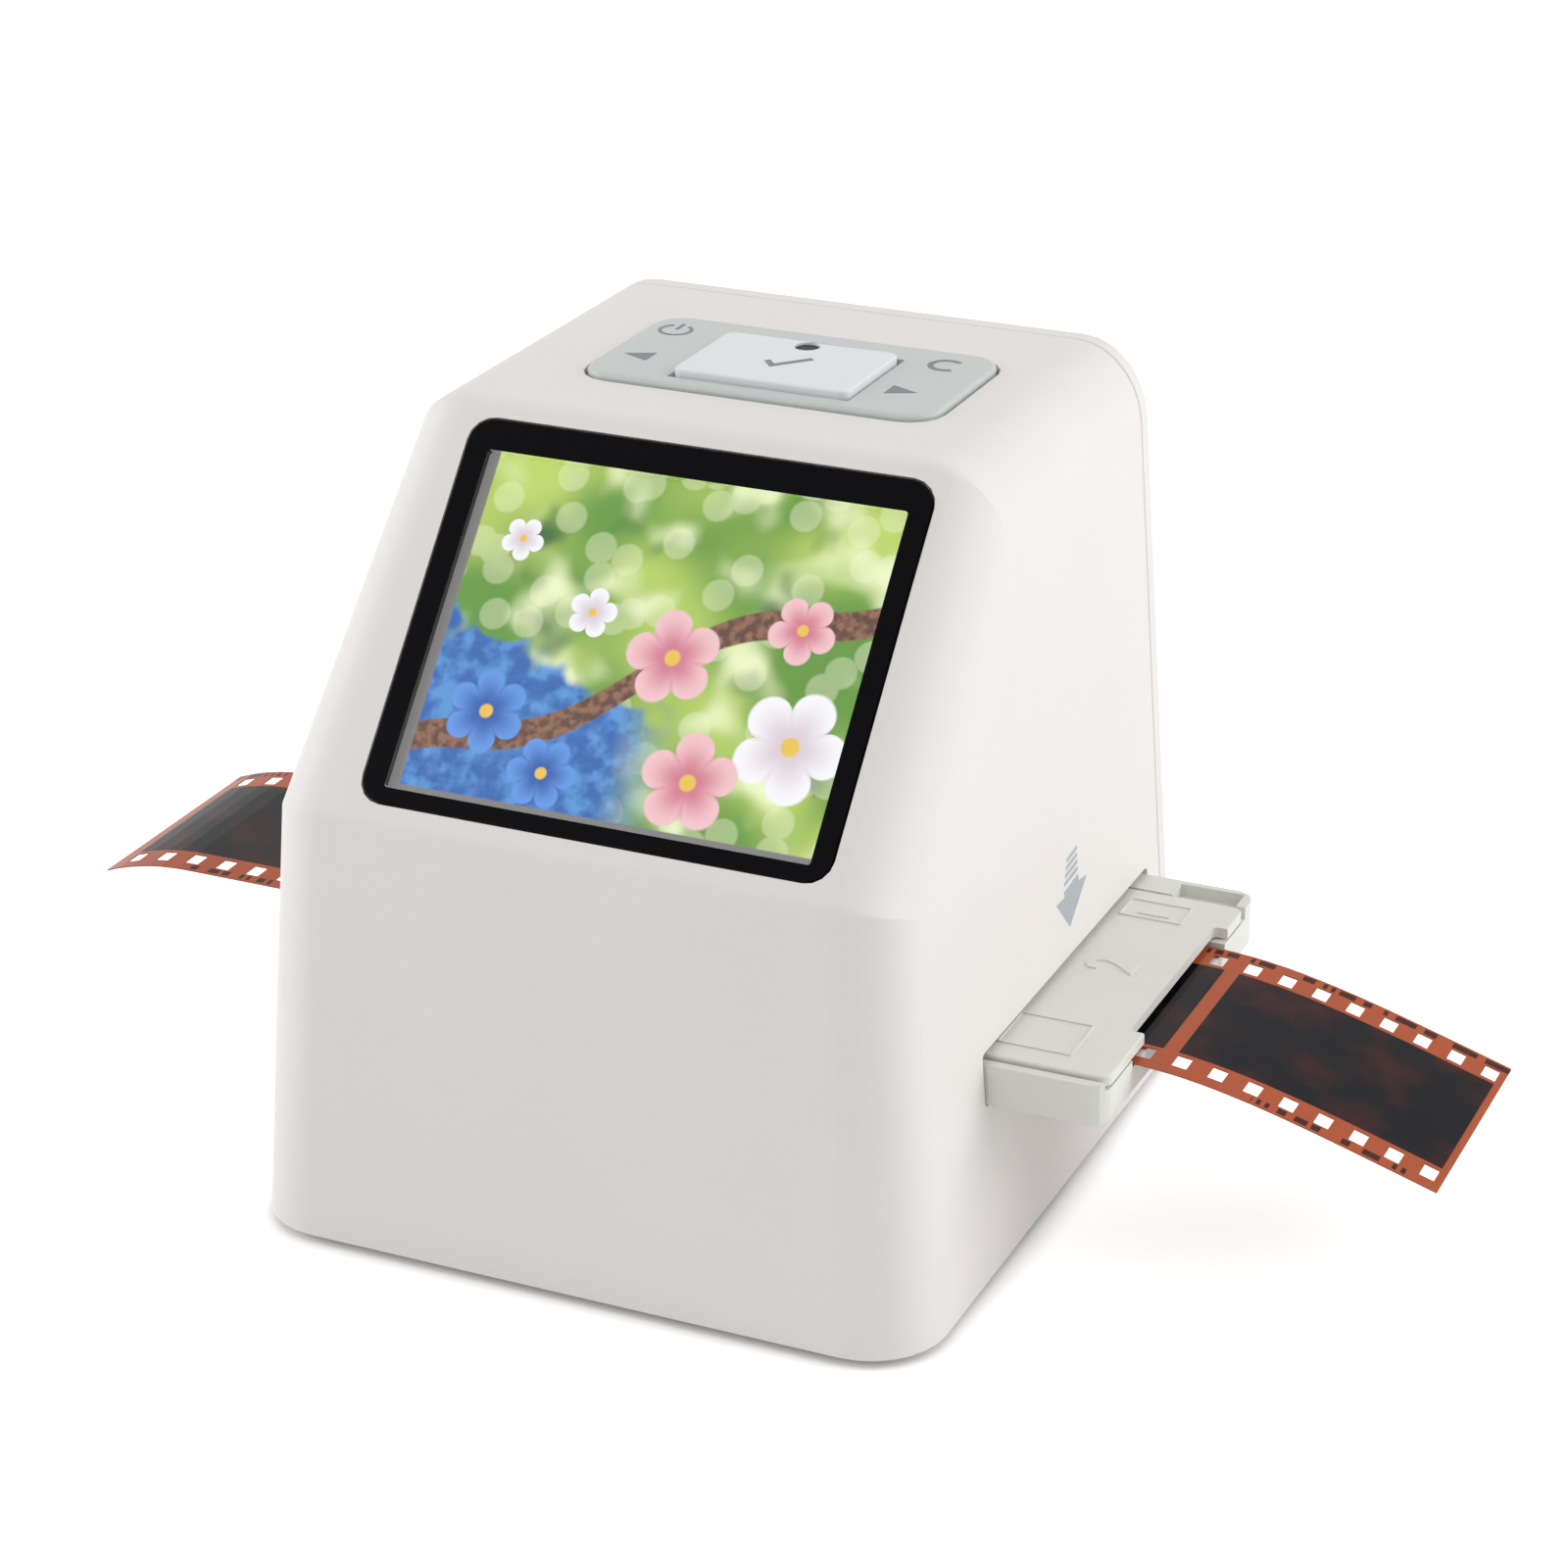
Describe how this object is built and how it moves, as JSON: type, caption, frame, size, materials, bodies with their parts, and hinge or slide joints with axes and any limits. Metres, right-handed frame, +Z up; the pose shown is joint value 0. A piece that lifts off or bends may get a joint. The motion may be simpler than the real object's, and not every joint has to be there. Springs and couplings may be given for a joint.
{
  "type": "film negative scanner",
  "caption": "Upright desktop film scanner with a sloped display, top keys and a sliding holder carrying a negative strip through side slots.",
  "frame": {"origin": "on the underside of the base plate, straight below the middle of the display and between the housing's four feet", "axes": "+X along the film and the tray's travel, to the right as seen from the display; +Y to the back, away from the display; +Z up"},
  "size_m": [0.189, 0.0936, 0.1044],
  "materials": {
    "shell_plastic": "fine satin moulding, warm white",
    "key_plastic": "satin, light grey",
    "ok_plastic": "polished, near white",
    "tray_plastic": "satin, pale ivory grey",
    "window": "clear window with a black printed border",
    "lcd": "polished display panel",
    "white_light": "milky, light passing",
    "film": "glossy orange-brown film base",
    "dark_plastic": "matt black moulding",
    "board": "green solder mask",
    "ribbon": "amber ribbon",
    "spring_steel": "bright drawn steel",
    "plated_steel": "plated pressed steel",
    "black_aluminium": "turned, black anodised",
    "optical_glass": "polished and coated",
    "rubber": "matt dark rubber"
  },
  "bodies": {
    "housing": {"front_shell": "shell_plastic", "rear_cover": "shell_plastic", "base_plate": "shell_plastic", "foot_front_left": "rubber", "foot_front_right": "rubber", "foot_back_left": "rubber", "foot_back_right": "rubber", "display_window": "window", "lcd_panel": "lcd", "lcd_backlight": "white_light", "lcd_frame": "dark_plastic", "lcd_flex": "ribbon", "key_board": "board", "status_led": "dark_plastic", "tray_track": "dark_plastic", "film_gate": "dark_plastic", "detent_spring": "spring_steel", "backlight_housing": "white_light", "led_board": "board", "diffuser_plate": "white_light", "camera_tower": "dark_plastic", "lens_barrel": "black_aluminium", "lens_front_element": "optical_glass", "lens_rear_element": "optical_glass", "infrared_filter": "optical_glass", "sensor_board": "board", "image_sensor": "dark_plastic", "main_board": "board", "sd_card_socket": "plated_steel", "usb_socket": "plated_steel", "av_jack": "dark_plastic", "switch_power": "plated_steel", "switch_mode": "plated_steel", "switch_left": "plated_steel", "switch_right": "plated_steel", "switch_ok": "plated_steel", "base_screw_front_left": "plated_steel", "base_screw_front_right": "plated_steel", "base_screw_back_left": "plated_steel", "base_screw_back_right": "plated_steel", "track_screw_front_left": "plated_steel", "track_screw_back_right": "plated_steel", "rear_screw_left": "plated_steel", "rear_screw_right": "plated_steel", "gate_screw_front_right": "plated_steel", "gate_screw_back_left": "plated_steel", "tower_screw_left": "plated_steel", "tower_screw_right": "plated_steel", "main_board_screw_lower": "plated_steel", "main_board_screw_upper": "plated_steel", "key_board_screw_left": "plated_steel", "key_board_screw_right": "plated_steel"},
    "key_ring": {"rocker_flex_ring": "dark_plastic"},
    "rocker": {"rocker_plate": "key_plastic"},
    "ok_key": {"ok_button": "ok_plastic"},
    "film_holder": {"holder_base": "tray_plastic", "holder_cover": "tray_plastic", "holder_hinge_pin": "spring_steel"},
    "film": {"film_strip": "film"}
  },
  "joints": [
    {"name": "rocker_tilt_fore_aft", "type": "hinge", "parent": "housing", "child": "key_ring", "pos_m": [0, 0.0171, 0.0979], "axis": [1, 0, 0], "range_deg": [-1.6, 1.6], "stiffness_Nm_per_rad": 1.2},
    {"name": "rocker_tilt_sideways", "type": "hinge", "parent": "key_ring", "child": "rocker", "pos_m": [0, 0.0171, 0.0979], "axis": [0, 1, 0], "range_deg": [-0.9, 0.9], "stiffness_Nm_per_rad": 1.2},
    {"name": "ok_press", "type": "slide", "parent": "housing", "child": "ok_key", "axis": [0, 0, -1], "range_m": [0, 0.0008], "stiffness_N_per_m": 2500},
    {"name": "holder_slide", "type": "slide", "parent": "housing", "child": "film_holder", "axis": [1, 0, 0], "range_m": [0, 0.107]},
    {"name": "film_feed", "type": "slide", "parent": "film_holder", "child": "film", "axis": [1, 0, 0], "range_m": [0, 0.038], "deforming": ["film_strip"]}
  ]
}
